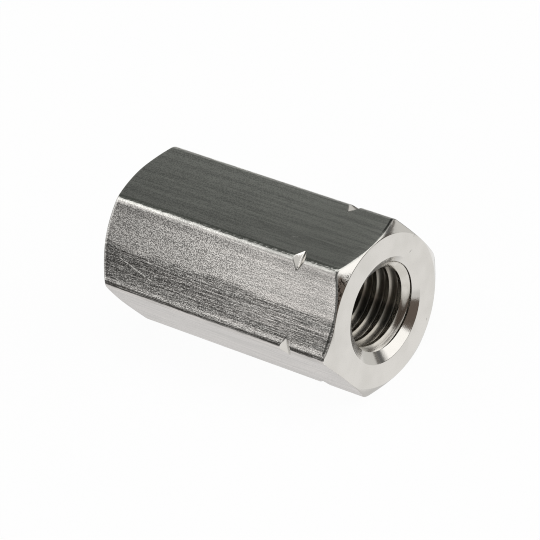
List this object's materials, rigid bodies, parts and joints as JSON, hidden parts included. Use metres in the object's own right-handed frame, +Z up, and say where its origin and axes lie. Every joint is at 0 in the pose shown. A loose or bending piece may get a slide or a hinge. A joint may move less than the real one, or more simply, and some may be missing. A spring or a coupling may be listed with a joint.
{
  "type": "coupling nut",
  "caption": "Long hexagonal coupling nut, threaded right through, with countersunk mouths, turned end chamfers and a mark groove across its corners near one end.",
  "frame": {"origin": "centre of the lower flat, under the middle of the bore, on the surface the nut lies on", "axes": "+X along the bore towards the end with the corner marks, +Z up, square to the upper flat, and +Y across two opposite corners"},
  "size_m": [0.024, 0.0148, 0.013],
  "materials": {
    "drawn_steel": "drawn bar flats with lengthwise streaks, turned end faces, chamfers and countersinks, tapped bore"
  },
  "bodies": {
    "root": {"coupling_nut": "drawn_steel"}
  },
  "joints": []
}
